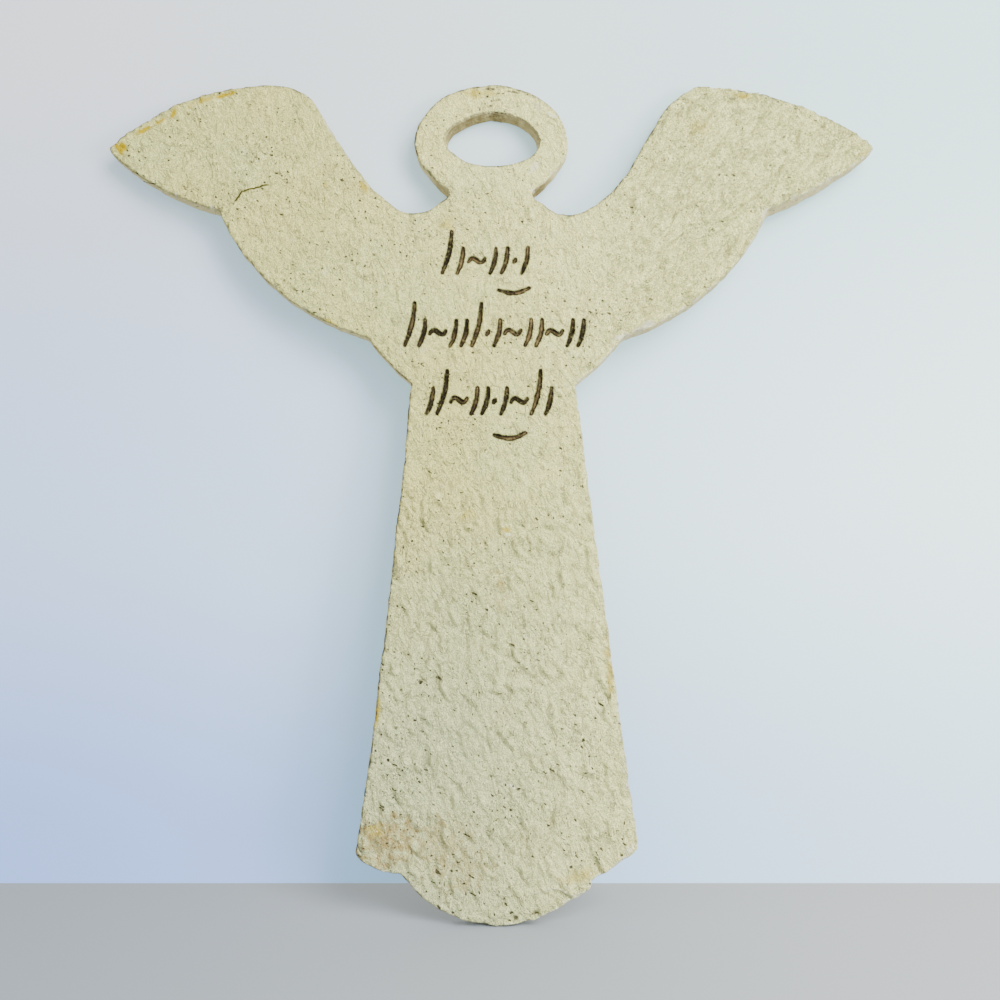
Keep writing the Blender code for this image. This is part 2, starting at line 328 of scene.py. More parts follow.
# What has happened to the casting over the years.
blemishes = {
    # middle, half width, half height, degrees turned, strength
    "ochre": (
        ((-136.3, 68.4), 1.9, 1.9, 0, 0.95), ((-128.5, 75.0), 3.2, 0.9, 34, 0.75),
        ((-122.0, 79.0), 3.0, 0.7, 36, 0.5), ((-117.5, 81.6), 1.0, 2.4, -30, 0.55),
        ((-106.5, 87.0), 5.0, 0.9, 24, 0.4), ((-98.5, 89.5), 4.5, 0.9, 14, 0.65),
        ((-46.6, 53.0), 3.2, 1.0, -48, 0.42), ((93.0, 88.6), 3.0, 1.4, -6, 0.38),
        ((76.0, 76.0), 4.5, 3.0, 0, 0.18), ((-6.2, 90.0), 3.4, 2.0, 0, 0.36),
        ((-1.0, 90.0), 2.5, 1.5, 0, 0.25), ((-38.8, -174.3), 2.6, 2.2, 0, 0.3),
        ((41.5, 62.0), 1.4, 3.0, -25, 0.5), ((5.4, -73.0), 1.6, 0.8, 0, 0.45),
        ((-8.0, -68.0), 3.0, 2.0, 0, 0.18), ((-61.0, 54.0), 1.2, 1.2, 0, 0.35),
        ((-16.0, 39.0), 3.2, 2.4, 0, 0.22), ((40.8, -121.0), 1.2, 9.0, 3, 0.36),
        ((-38.6, -134.7), 1.2, 4.5, -5, 0.45), ((-57.5, 1.2), 3.6, 1.6, -30, 0.35),
        ((-44.0, -6.5), 3.0, 1.0, -20, 0.3), ((37.0, -47.0), 3.0, 9.0, 8, 0.16),
        ((138.0, 66.0), 2.5, 1.2, 30, 0.18), ((30.0, -189.0), 6.0, 2.0, 10, 0.25)),
    "brown": (
        ((-34.0, -178.0), 11.0, 7.5, 5, 0.75), ((-16.0, -180.0), 11.0, 8.5, 0, 0.42),
        ((-8.0, -188.0), 9.0, 5.5, 30, 0.35), ((-16.2, -171.7), 0.9, 2.4, 28, 1.0),
        ((-15.6, -184.5), 0.7, 3.0, 5, 0.8), ((3.6, -92.5), 1.5, 4.2, 14, 0.55),
        ((3.0, -99.5), 1.4, 2.6, 10, 0.3), ((14.0, -180.0), 7.0, 6.0, 0, 0.16),
        ((20.0, -172.0), 2.6, 2.2, 0, 0.2), ((-52.5, 53.5), 3.2, 2.2, 0, 0.25),
        ((-60.0, 60.0), 3.2, 2.2, 0, 0.2), ((4.0, -137.0), 6.0, 3.5, 0, 0.14)),
    "pale": (
        ((16.1, 60.6), 1.6, 3.4, -35, 0.6), ((22.5, 81.3), 2.6, 1.2, -40, 0.8),
        ((17.5, 84.5), 2.4, 1.0, -35, 0.6), ((71.7, 6.9), 3.4, 1.1, 28, 0.9),
        ((55.4, 0.6), 4.2, 1.2, 24, 0.95), ((46.5, -3.4), 3.4, 1.1, 26, 0.85),
        ((46.2, -181.6), 1.5, 3.2, -38, 0.7), ((30.2, -195.4), 2.8, 1.0, 36, 0.95),
        ((-39.9, -146.4), 0.9, 5.0, -5, 0.55), ((7.7, -160.3), 1.1, 0.5, -30, 1.0),
        ((5.5, -159.0), 2.2, 0.8, -35, 0.6), ((6.0, -74.6), 1.8, 0.6, 5, 0.7),
        ((-57.0, 52.0), 3.0, 2.0, 0, 0.2), ((-60.0, 21.0), 2.6, 1.8, 0, 0.35),
        ((-44.0, -178.5), 1.0, 4.5, 4, 0.4), ((45.0, -150.0), 0.9, 9.0, 3, 0.55),
        ((-35.0, -191.0), 6.0, 0.8, -28, 0.4), ((-17.0, -198.0), 8.0, 0.8, -32, 0.35),
        ((-12.0, -165.0), 1.2, 3.4, 20, 0.22), ((-1.5, -86.0), 2.2, 3.0, 0, 0.14),
        ((92.2, 61.8), 2.0, 0.6, 40, 0.4)),
    "dark": (
        ((-32.2, -140.8), 0.55, 0.55, 0, 0.9), ((19.2, -149.7), 0.45, 0.45, 0, 0.9),
        ((27.0, -186.3), 0.55, 0.5, 0, 1.0), ((8.6, -202.6), 0.9, 0.7, 20, 0.9),
        ((-40.8, -152.4), 0.35, 1.9, -8, 1.0), ((14.8, -201.2), 1.7, 0.35, 8, 0.95),
        ((40.9, -129.7), 0.35, 1.3, 0, 0.9), ((-0.4, 91.8), 1.8, 0.6, 0, 1.0),
        ((1.8, 87.3), 1.8, 0.4, 12, 1.0), ((-1.4, 88.7), 0.6, 0.6, 0, 1.0),
        ((-0.2, 85.0), 0.6, 0.5, 0, 1.0), ((2.6, 90.0), 0.9, 0.5, 30, 0.9),
        ((8.0, 90.6), 2.2, 0.4, -8, 1.0), ((9.2, -161.2), 0.7, 0.3, -15, 0.9),
        ((-97.0, 91.6), 0.9, 0.4, 30, 1.0), ((-108.6, 87.8), 1.0, 0.3, 22, 0.8),
        ((-111.9, 53.4), 1.6, 0.35, -10, 0.9), ((-95.8, 38.4), 0.6, 0.5, -40, 0.9),
        ((-74.6, 17.6), 0.7, 0.4, -30, 0.9), ((-71.0, 14.4), 1.6, 0.4, -35, 0.8),
        ((-61.6, 36.4), 0.9, 0.25, 4, 1.0), ((-42.6, 27.4), 0.5, 0.4, 20, 0.9),
        ((-64.0, 4.4), 0.6, 0.5, -40, 0.8), ((-45.1, -176.0), 0.3, 3.4, -4, 1.0),
        ((-44.0, -180.4), 0.3, 2.2, 30, 0.8), ((9.8, 85.0), 0.6, 0.4, 0, 0.6),
        ((17.0, 77.5), 0.6, 0.35, -35, 0.5), ((-1.8, -77.5), 0.7, 0.25, -28, 0.6),
        ((108.0, 72.8), 0.8, 0.3, 25, 0.9), ((104.5, 70.6), 0.4, 0.4, 0, 0.9)),
    # stuck bit of dry stalk
    "stalk": {"path": ((-93.4, 47.6), (-90.8, 51.4), (-90.0, 51.9), (-82.1, 54.1)),
              "half": 0.30, "proud": 0.32},
    # flaked step near the right of the hem: below this line the skin is gone
    "flake": {"path": ((11.0, -196.0), (15.5, -194.6), (19.0, -193.6), (22.5, -193.4), (25.0, -194.6),
                       (27.5, -195.6), (30.5, -194.8), (33.5, -193.0)),
              "deep": 0.75, "reach": 7.0, "lip": 0.28},
    "pits": (
        ((-32.2, -140.8), 0.7, 0.5), ((19.2, -149.7), 0.6, 0.4), ((27.0, -186.3), 0.7, 0.5),
        ((8.6, -202.4), 1.1, 0.7), ((9.2, -161.2), 0.9, 0.6), ((-0.4, 91.2), 1.2, 0.6),
        ((1.8, 87.3), 1.1, 0.5), ((-61.6, 36.4), 0.8, 0.4), ((-42.6, 27.4), 0.7, 0.4),
        ((-111.9, 53.4), 1.3, 0.6), ((14.8, -201.2), 1.4, 0.7), ((-40.8, -152.4), 0.9, 0.8)),
}


def patchShare(points, patches, seed, ragged=0.5):
    total = np.zeros(len(points))
    uneven = ragged * layeredNoise(points[:, 0], points[:, 1], 2.4, seed, 3)
    for (x, h), wide, tall, degrees, strength in patches:
        c, s = math.cos(math.radians(degrees)), math.sin(math.radians(degrees))
        u = ((points[:, 0] - x) * c + (points[:, 1] - h) * s) / wide
        v = ((points[:, 1] - h) * c - (points[:, 0] - x) * s) / tall
        total = np.maximum(total, strength * easeBetween(np.hypot(u, v) + uneven, 1.35, 0.45))
    return total


def wear(points):
    # knocks, the flaked step and the stalk, as heights
    step, stem = blemishes["flake"], blemishes["stalk"]
    height = np.zeros(len(points))
    for (x, h), wide, deep in blemishes["pits"]:
        height -= deep * np.exp(-(np.hypot(points[:, 0] - x, points[:, 1] - h) / (0.7 * wide)) ** 2)
    flake = np.array([(x, h, 1.0) for x, h in step["path"]])
    far, _ = lineDistance(points, flake)
    line = np.interp(points[:, 0], flake[:, 0], flake[:, 1])
    ends = easeBetween(points[:, 0], 10, 17) * easeBetween(points[:, 0], 36, 31)
    under = line - points[:, 1]
    below = easeBetween(under, -0.15, 0.35) * easeBetween(under, step["reach"], 1.5)
    height += ends * (step["lip"] * np.exp(-(far / 0.55) ** 2) - step["deep"] * below)
    lip = ends * np.exp(-((far - 0.1) / 0.45) ** 2)
    stalk = np.array([(x, h, 1.0) for x, h in stem["path"]])
    far, _ = lineDistance(points, stalk)
    height += stem["proud"] * np.sqrt(np.clip(1 - (far / stem["half"]) ** 2, 0, 1))
    return height, lip, easeBetween(far, stem["half"] + 0.12, stem["half"] - 0.08)


# Mesh of the slab.
def offsetPoints(loop, normals, distance, tree):
    moved = loop + normals * distance
    kept = [k for k, spot in enumerate(moved) if tree.find((spot[0], spot[1], 0))[2] > 0.86 * distance]
    return moved[kept]


def gridPoints(low, high, step):
    rows = np.arange(low[1], high[1], step * math.sqrt(0.75))
    columns = np.arange(low[0], high[0], step)
    x, h = np.meshgrid(columns, rows)
    x = x + step / 2 * (np.arange(len(rows)) % 2)[:, None]
    return np.stack([x.ravel(), h.ravel()], 1)


def insideLoops(points, loops):
    crossed = np.zeros(len(points), int)
    for loop in loops:
        for a, b in zip(loop, np.roll(loop, -1, axis=0)):
            low, high = (a, b) if a[1] < b[1] else (b, a)
            band = (points[:, 1] >= low[1]) & (points[:, 1] < high[1])
            if band.any():
                spot = low[0] + (points[band, 1] - low[1]) / (high[1] - low[1]) * (high[0] - low[0])
                crossed[np.where(band)[0][points[band, 0] < spot]] += 1
    return crossed % 2 == 1


def triangulate(loops, inner):
    # faces of the region between the loops, over the loops' points and then the inner ones
    points = np.vstack(list(loops) + [inner])
    edges, start = [], 0
    for loop in loops:
        count = len(loop)
        edges += [(start + k, start + (k + 1) % count) for k in range(count)]
        start += count
    result = delaunay_2d_cdt([Vector(p) for p in points], edges, [], 0, 1e-7)
    spots = np.array([tuple(v) for v in result[0]])
    origin = result[3]
    index = np.array([o[0] if o else -1 for o in origin])
    faces = np.array(result[2])
    centres = spots[faces].mean(1)
    faces = faces[insideLoops(centres, loops)]
    return index[faces], points


print("reading the outline")
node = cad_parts["angel_plaque"]
rng = np.random.default_rng(slab["seed"])
loops = []
for number, loop in enumerate(backLoops(node)):
    wantsPositive = number == 0
    if (loopArea(loop) > 0) != wantsPositive:
        loop = loop[::-1]
    loop = smoothLoop(loop, slab["outlineStep"])
    normals = inwardNormals(loop)
    if number:
        middle = np.array(slab["holeMiddle"])
        loop = loop + normals * slab["holeWider"]
        away = (loop - middle) / slab["holeReach"]
        share = np.interp(np.degrees(np.arctan2(away[:, 1], away[:, 0])), *np.array(slab["holeShape"]).T)
        loop = middle + (loop - middle) * share[:, None]
        normals = inwardNormals(loop)
    draft = np.full(len(loop), slab["holeDraft"] if number else 0.0)
    ragged = slab["edgeRagged"] * layeredNoise(loop[:, 0] + 300 * number, loop[:, 1], 5.0, 91, 3)
    if number:
        chipped = easeBetween(np.hypot(*(loop - slab["chipPlace"]).T), 7, 2)
        ragged = 0.4 * ragged + 0.45 * chipped * latticeNoise(loop[:, 0] / 1.7, loop[:, 1] / 1.7, 95)
        loop = loop + normals * ragged[:, None]
    else:
        for spot, reach, distance in slab["drawnIn"]:
            near = easeBetween(np.hypot(*(loop - spot).T), reach, 0.25 * reach)
            draft = np.maximum(draft, distance * near)
        loop = loop + normals * (ragged + draft)[:, None]
    loops.append({"points": loop, "normals": inwardNormals(loop), "draft": draft})

outlinePoints = np.vstack([loop["points"] for loop in loops])
tree = kdtree.KDTree(len(outlinePoints))
for k, spot in enumerate(outlinePoints):
    tree.insert((spot[0], spot[1], 0), k)
tree.balance()
print("outline points", len(outlinePoints))


def nearestEdge(points):
    found = [tree.find((x, h, 0)) for x, h in points]
    return np.array([f[1] for f in found]), np.array([f[2] for f in found])


def edgeNoise(size, seed, layers):
    return layeredNoise(outlinePoints[:, 0], outlinePoints[:, 1], size, seed, layers)


# rounding of the front edge at each outline point, wider where it is knocked
edgeRound = slab["edgeRound"] * (1 + 0.35 * edgeNoise(9.0, 101, 2))
knocks = easeBetween(edgeNoise(7.0, 111, 2), 0.30, 0.55)
edgeRound = np.clip(edgeRound + 0.8 * knocks, 0.22, 2.2)
edgeRound[len(loops[0]["points"]):] = 0.25

lines = strokeLines()
print("laying out the face")
low, high = outlinePoints.min(0), outlinePoints.max(0)
grid = gridPoints(low, high, slab["frontStep"])
grid = grid[insideLoops(grid, [loop["points"] for loop in loops])]
grid = grid + rng.normal(0, 0.05, grid.shape)
_, far = nearestEdge(grid)
grid = grid[far > slab["gridClear"]]
fineSpots = []
for line in lines:
    low, high = line[:, :2].min(0) - 2, line[:, :2].max(0) + 2
    near = np.where(np.all((grid > low) & (grid < high), axis=1))[0]
    far, _ = lineDistance(grid[near], line)
    grid = np.delete(grid, near[far < slab["strokeClear"]], axis=0)
    fineSpots.append(stripPoints(line))

for path, reach, step in ((blemishes["stalk"]["path"], 0.6, slab["stalkStep"]),
                          (blemishes["flake"]["path"], 1.2, slab["flakeStep"])):
    line = np.array([(x, h, 1.0) for x, h in path])
    low, high = line[:, :2].min(0) - 2, line[:, :2].max(0) + 2
    far, _ = lineDistance(grid, line)
    grid = grid[far > reach + 0.15]
    patch = gridPoints(low, high, step)
    far, _ = lineDistance(patch, line)
    fineSpots.append(patch[far < reach])
small = [(spot, 1.6 * wide) for spot, wide, _ in blemishes["pits"]]
small += [(spot, max(wide, tall) + 0.3) for spot, wide, tall, _, _ in blemishes["dark"]]
for spot, reach in small:
    known = np.vstack(fineSpots)
    grid = grid[np.hypot(*(grid - spot).T) > reach + 0.2]
    patch = gridPoints(np.array(spot) - reach, np.array(spot) + reach, slab["pitStep"])
    patch = patch[np.hypot(*(patch - spot).T) < reach]
    clear = [np.hypot(*(known - one).T).min() > 0.25 for one in patch]
    fineSpots.append(patch[clear])
fine = np.vstack(fineSpots)
fine = fine[insideLoops(fine, [loop["points"] for loop in loops])]
_, far = nearestEdge(fine)
fine = fine[far > slab["fineClear"]]
rings = [offsetPoints(loop["points"], loop["normals"], distance, tree)
         for loop in loops for distance in slab["edgeRings"]]
inner = np.vstack([grid, fine] + rings)
faces, points = triangulate([loop["points"] for loop in loops], inner)
print("face points", len(points), "triangles", len(faces))

nearest, edgeFar = nearestEdge(points)
rounding = edgeRound[nearest]
share = np.clip(1 - edgeFar / rounding, 0, 1)
edgeDrop = rounding * (1 - np.sqrt(np.clip(1 - share ** 2, 0, 1)))
groove, stain, grooveMiddle = grooves(points, lines)
bumps, crease = faceRelief(points[:, 0], points[:, 1])
worn, flakeLip, stalk = wear(points)
calm = 1 - 0.5 * easeBetween(share, 0, 1)        # the skin is flatter on the rounded edge
frontDepth = slab["thickness"] + bumps * calm + worn - groove - edgeDrop
frontVerts = np.stack([points[:, 0], -frontDepth, points[:, 1]], 1)

print("building the walls and the back")
count = len(outlinePoints)
verts = [frontVerts]
allFaces = [faces]
levels = list(slab["wallLevels"]) + [0.0]
starts = [0]
offset = len(frontVerts)
allNormals = np.vstack([loop["normals"] for loop in loops])
draftTowardBack = np.concatenate([loop["draft"] for loop in loops])
outerDepth = frontDepth[:count]
for level in levels:
    depth = outerDepth * level if level else np.full(count, slab["backRound"] * 0.6)
    shift = slab["wallRough"] * layeredNoise(outlinePoints[:, 0] + depth * 1.7,
                                             outlinePoints[:, 1] - depth * 2.3, 1.9, 121, 2)
    shift = shift - draftTowardBack * (1 - depth / slab["thickness"])
    ring = outlinePoints + allNormals * shift[:, None]
    verts.append(np.stack([ring[:, 0], -depth, ring[:, 1]], 1))
    starts.append(offset)
    offset += count
lastRing = ring
backLoopPoints = []
at = 0
for loop in loops:
    backLoopPoints.append(lastRing[at:at + len(loop["points"])] + loop["normals"] * slab["backRound"] * 0.8)
    at += len(loop["points"])
backGrid = gridPoints(outlinePoints.min(0), outlinePoints.max(0), slab["backStep"])
backGrid = backGrid[insideLoops(backGrid, backLoopPoints)]
_, far = nearestEdge(backGrid)
backGrid = backGrid[far > slab["backClear"]]
backFaces, backPoints = triangulate(backLoopPoints, backGrid)
backDepth = slab["backRough"] * layeredNoise(backPoints[:, 0], backPoints[:, 1], 8.0, 131, 3)
backDepth = np.clip(backDepth, -0.05, 0.2)
verts.append(np.stack([backPoints[:, 0], -backDepth, backPoints[:, 1]], 1))
starts.append(offset)
at = 0
for loop in loops:
    size = len(loop["points"])
    k = np.arange(size)
    after = (k + 1) % size
    for one, two in zip(starts, starts[1:]):
        a, b = one + at + k, one + at + after
        c, d = two + at + after, two + at + k
        allFaces.append(np.stack([a, d, c], 1))
        allFaces.append(np.stack([a, c, b], 1))
    at += size
allFaces.append(backFaces[:, ::-1] + starts[-1])
verts = np.vstack(verts)
allFaces = np.vstack(allFaces)
print("whole slab", len(verts), "points,", len(allFaces), "triangles")

mesh = bpy.data.meshes.new("castPlaque")
mesh.from_pydata((verts * mm).tolist(), [], allFaces.tolist())
plaque = bpy.data.objects.new("castPlaque", mesh)
bpy.context.scene.collection.objects.link(plaque)
mesh.shade_smooth()

# Masks for the stone's colours, one number a point.
edges = {
    "darkLine": 1.0,           # how far the dark line round the rim reaches in
    "holeLine": 0.55,
    "paleReach": 0.8,
    "brightSpots": (((-57.0, 79.0), 13.0), ((-33.0, -192.0), 13.0)),    # rubbed pale: middle, reach
    "wallDirtAndShade": 0.10,              # how dark the walls are as a rule, with dirt and painted shade
    # where they are darker, with dirt and with painted shade in the neck and the hole: middle, reach, how
    # dark
    "dirtAndShadeSpots": (
        ((-16.5, 53.0), 11.0, 0.7), ((16.5, 53.0), 12.0, 1.0), ((-99.5, 44.0), 8.0, 0.12),
        ((15.5, 77.0), 9.0, 0.74), ((-15.5, 77.0), 9.0, 1.0), ((0.0, 82.5), 12.0, 1.0),
        ((8.0, 81.0), 6.0, 0.8), ((-9.0, 81.0), 8.0, 0.95)),
}
outX, outH = -allNormals[:, 0], -allNormals[:, 1]
# dark line along the front rim, partly dark stain and partly painted shade, strongest on edges facing up
# and left; pale rubbed bits at the lower right, with painted light on rims facing down and right
inHole = np.arange(count) >= len(loops[0]["points"])
shadedSide = np.clip(0.62 - 0.55 * outX + 0.42 * outH, 0, 1)
broken = easeBetween(edgeNoise(3.2, 141, 3), -0.45, 0.25)
chipped = easeBetween(np.hypot(*(outlinePoints - slab["chipPlace"]).T), 7, 3)
holeRimDarkAndShade = np.clip(0.25 + 0.35 * broken * (1 + chipped) + 0.5 * np.clip(outH, 0, 1), 0, 1)
rimDarkAndShade = np.where(inHole, holeRimDarkAndShade, shadedSide * (0.35 + 0.65 * broken))
lineReach = np.where(inHole, edges["holeLine"], edges["darkLine"])
bits = easeBetween(edgeNoise(2.2, 145, 2), -0.05, 0.35)
# pale rims: painted light on edges facing down and right, with rubbed wear at knocks and at the bright
# spots
rubbedAndLitRim = easeBetween(outX - outH, 0.3, 1.1)
for spot, reach in edges["brightSpots"]:
    rubbedAndLitRim = np.maximum(rubbedAndLitRim, easeBetween(np.hypot(*(outlinePoints - spot).T), reach, 0.5 * reach))
rimPaleAndLit = np.where(inHole, 0.0, np.clip(0.55 * bits * knocks + (0.35 + 0.65 * bits) * rubbedAndLitRim, 0, 1))
# darkness of the walls: a little dirt all round, and painted shade with dirt in the neck and the hole
wallDirtAndShade = np.full(count, edges["wallDirtAndShade"])
for spot, reach, share in edges["dirtAndShadeSpots"]:
    near = easeBetween(np.hypot(*(outlinePoints - spot).T), reach, 0.3 * reach)
    wallDirtAndShade = np.maximum(wallDirtAndShade, share * near)
wallDirtAndShade = np.clip(wallDirtAndShade * (1 + 0.12 * edgeNoise(6.0, 151, 3)), 0, 1)

raggedness = {"ochre": 0.55, "brown": 0.9, "pale": 0.6, "dark": 0.25}
masks = {name: patchShare(points, blemishes[name], 160 + k, ragged)
         for k, (name, ragged) in enumerate(raggedness.items())}
masks["pale"] = np.maximum(masks["pale"], 0.8 * flakeLip)
byRim = easeBetween(edgeFar, rounding + edges["paleReach"], 0.2)
masks["pale"] = np.maximum(masks["pale"], rimPaleAndLit[nearest] * byRim)
onLine = easeBetween(edgeFar / lineReach[nearest], 1, 0.3)
masks["dark"] = np.maximum(masks["dark"], rimDarkAndShade[nearest] * onLine)
masks["stroke"] = stain
masks["middle"] = grooveMiddle
masks["stalk"] = stalk
# the crease depth goes on as a mask, to paint shade into the creases
masks["crease"] = np.clip(crease, 0, 1) * (1 - easeBetween(stain, 0, 0.3))
masks["wall"] = np.zeros(len(points))

# the walls and the back carry the masks too, but only three of them are more than nothing there
rest = len(verts) - len(points)
for name, values in masks.items():
    whole = np.concatenate([values, np.zeros(rest)])
    for ring, start in enumerate(starts[1:-1]):
        level = levels[ring]
        if name == "dark":
            whole[start:start + count] = rimDarkAndShade * easeBetween(level, 0.75, 1.0)
        elif name == "pale":
            whole[start:start + count] = rimPaleAndLit * (0.3 + 0.4 * level)
        elif name == "wall":
            whole[start:start + count] = wallDirtAndShade
    attribute = mesh.attributes.new(name + "Mask", "FLOAT", "POINT")
    attribute.data.foreach_set("value", whole.astype(np.float32))
print("masks", ", ".join(masks))


# Cast stone.
stoneLook = {
    "warm": (0.83, 0.785, 0.28, 1), "cool": (0.765, 0.785, 0.31, 1), "low": (0.685, 0.735, 0.41, 1),
    "mottleDark": (0.55, 0.56, 0.22, 1), "creaseShade": (0.21, 0.215, 0.11, 1),
    "speck": (0.045, 0.04, 0.02, 1), "fleck": (0.15, 0.14, 0.07, 1),
    "ochre": (0.545, 0.40, 0.005, 1), "brown": (0.40, 0.27, 0.08, 1), "rust": (0.20, 0.10, 0.025, 1),
    "pale": (0.92, 0.93, 0.62, 1), "dark": (0.07, 0.06, 0.035, 1),
    "wallStainAndShade": (0.36, 0.275, 0.075, 1), "wallDarkStainAndShade": (0.16, 0.12, 0.03, 1),
    "wallPaleAndLit": (0.98, 0.90, 0.52, 1), "paintedLitTone": (0.99, 0.985, 0.425, 1),
    "strokeDark": (0.012, 0.009, 0.003, 1), "strokeWorn": (0.32, 0.23, 0.10, 1),
    "stalk": (0.075, 0.065, 0.012, 1),
    "bump": 1.0, "bumpReach": 0.0018,
    # how far each layer stands up in the bump, and where there are two numbers, first off the right wing
    # and then on it
    "grainBump": (0.60, 0.70), "gritBump": (0.52, 0.56), "wrinkleBump": (1.25, 2.40),
    "mottleBump": 0.45, "creaseBump": -0.22, "lineBump": 0.20, "poreBump": -0.25, "speckBump": -0.9,
    # dark and chalky specks: cell, height of the cell, share of cells used, least and most size
    "small": (0.0022, 0.0022, 0.27, 0.13, 0.22),
    "large": (0.0062, 0.0062, 0.14, 0.07, 0.12),
    "flecks": (0.0024, 0.0075, 0.22, 0.09, 0.15),
    "pepper": (0.0011, 0.0011, 0.22, 0.14, 0.26),
    "chalk": (0.0030, 0.0030, 0.24, 0.08, 0.15),
    "speckWander": 0.0009,     # makes their rims uneven
    "robeLean": -22, "wingLean": 46,             # degrees that the thin creases lean, and their cells
    "robeCrease": (0.0036, 0.0036, 0.0080), "wingCrease": (0.0030, 0.0030, 0.0070),
    "roughness": (0.78, 0.94), "shine": 0.12,
}


def nodeMaker(tree):
    def put(kind, inputs=None, **settings):
        made = tree.nodes.new("ShaderNode" + kind)
        for name, value in settings.items():
            setattr(made, name, value)
        for name, value in (inputs or {}).items():
            socket = made.inputs[name]
            if isinstance(value, bpy.types.NodeSocket):
                tree.links.new(value, socket)
            else:
                socket.default_value = value
        return made
    return put


def paintCastStone():
    stone = bpy.data.materials.new("castStone")
    stone.use_nodes = True
    tree = stone.node_tree
    tree.nodes.clear()
    put = nodeMaker(tree)
    place = put("TexCoord").outputs["Object"]

    def noise(scale, detail=3.0, roughness=0.55, distortion=0.0, vector=place):
        return put("TexNoise", {"Vector": vector, "Scale": scale, "Detail": detail, "Roughness": roughness,
                                "Distortion": distortion}).outputs["Fac"]

    def spread(value, low, high, toLow=0.0, toHigh=1.0):
        return put("MapRange", {"Value": value, "From Min": low, "From Max": high, "To Min": toLow,
                                "To Max": toHigh}).outputs["Result"]

    def times(a, b):
        return put("Math", {0: a, 1: b}, operation="MULTIPLY").outputs[0]

    def plus(a, b):
        return put("Math", {0: a, 1: b}, operation="ADD").outputs[0]

    def minus(a, b):
        return put("Math", {0: a, 1: b}, operation="SUBTRACT").outputs[0]

    def unsigned(a):
        return put("Math", {0: a}, operation="ABSOLUTE").outputs[0]

    def mask(name):
        return put("Attribute", attribute_name=name + "Mask", attribute_type="GEOMETRY").outputs["Fac"]

    def mix(share, under, over, blend="MIX"):
        made = put("Mix", data_type="RGBA", blend_type=blend, clamp_factor=True)
        for socket, value in ((made.inputs[0], share), (made.inputs[6], under), (made.inputs[7], over)):
            if isinstance(value, bpy.types.NodeSocket):
                tree.links.new(value, socket)
            else:
                socket.default_value = value
        return made.outputs[2]

    def turned(degrees, scale):
        return put("Mapping", {"Vector": place, "Rotation": (0, math.radians(degrees), 0), "Scale": scale},
                   vector_type="TEXTURE").outputs["Vector"]

    height = put("SeparateXYZ", {"Vector": place}).outputs["Z"]
    colour = mix(spread(noise(24, 3), 0.38, 0.62), stoneLook["cool"], stoneLook["warm"])
    colour = mix(times(spread(height, -0.05, -0.14), 0.85), colour, stoneLook["low"])
    sideways = put("SeparateXYZ", {"Vector": place}).outputs["X"]
    # painted light: the right side, and the upper part away from the far left, made paler and less yellow,
    # as if more light falls there
    colour = mix(spread(sideways, -0.01, 0.06, 0.0, 0.88), colour, stoneLook["paintedLitTone"])
    colour = mix(times(spread(height, -0.02, 0.07), spread(sideways, -0.06, -0.02, 0.0, 0.5)), colour,
                 stoneLook["paintedLitTone"])
    # mottling of a few millimetres, then grain finer than one
    mottle = noise(230, 5, 0.62, 0.4)
    colour = mix(spread(mottle, 0.50, 0.28, 0.0, 0.30), colour, stoneLook["mottleDark"])
    colour = mix(spread(noise(310, 4, 0.6, 0.3), 0.58, 0.80, 0.0, 0.35), colour, stoneLook["pale"])
    grain = noise(1150, 5, 0.75)
    grit = noise(2400, 3, 0.8)
    onWing = times(spread(sideways, 0.030, 0.062), spread(height, -0.060, -0.030))
    # grain tint, darker in the dips of the grain and grit: partly the stone's own grain, partly painted
    # shade of the fine relief, made stronger on the right wing
    grainToneAndShade = plus(spread(grain, 0.3, 0.7, -0.15, 0.12), spread(grit, 0.3, 0.7, -0.52, 0.44))
    grainToneAndShade = times(grainToneAndShade, spread(onWing, 0.0, 1.0, 1.0, 1.6))
    tint = put("CombineColor", {"Red": plus(times(grainToneAndShade, 1.15), 1.0),
                                "Green": plus(times(grainToneAndShade, 0.90), 1.0),
                                "Blue": plus(times(grainToneAndShade, 1.10), 1.0)}).outputs[0]
    colour = mix(1.0, colour, tint, "MULTIPLY")
    # hair-thin creases running with the folds, which lean the other way on the right wing
    thinRobe = noise(1.0, 3, 0.55, 1.5, turned(stoneLook["robeLean"], stoneLook["robeCrease"]))
    thinWing = noise(1.0, 4, 0.65, 1.5, turned(stoneLook["wingLean"], stoneLook["wingCrease"]))
    wrinkle = plus(thinRobe, times(onWing, minus(thinWing, thinRobe)))
    line = unsigned(plus(wrinkle, -0.5))
    thinCrease = times(spread(line, 0.026, 0.008), spread(noise(190, 3), 0.46, 0.56))
    # painted shade: the creases and the hair-thin creases are darkened toward the crease shade colour
    crease = put("Math", {0: times(mask("crease"), 0.45), 1: thinCrease}, operation="MAXIMUM").outputs[0]
    colour = mix(times(crease, spread(noise(260, 2), 0.35, 0.6, 0.0, 0.75)), colour,
                 stoneLook["creaseShade"])

    # stains; the walls made paler with painted light and darker with dirt and painted shade; rubbed pale
    # bits, with painted light on the rims that face down and right
    colour = mix(times(mask("brown"), spread(noise(420, 4, 0.7), 0.32, 0.56, 0.1, 1.0)), colour,
                 stoneLook["brown"])
    colour = mix(times(mask("brown"), spread(noise(850, 4, 0.75), 0.56, 0.63)), colour, stoneLook["rust"])
    ochre = times(mask("ochre"), spread(noise(380, 4, 0.7), 0.25, 0.55, 0.5, 1.0))
    colour = mix(spread(ochre, 0.0, 0.52), colour, stoneLook["ochre"])
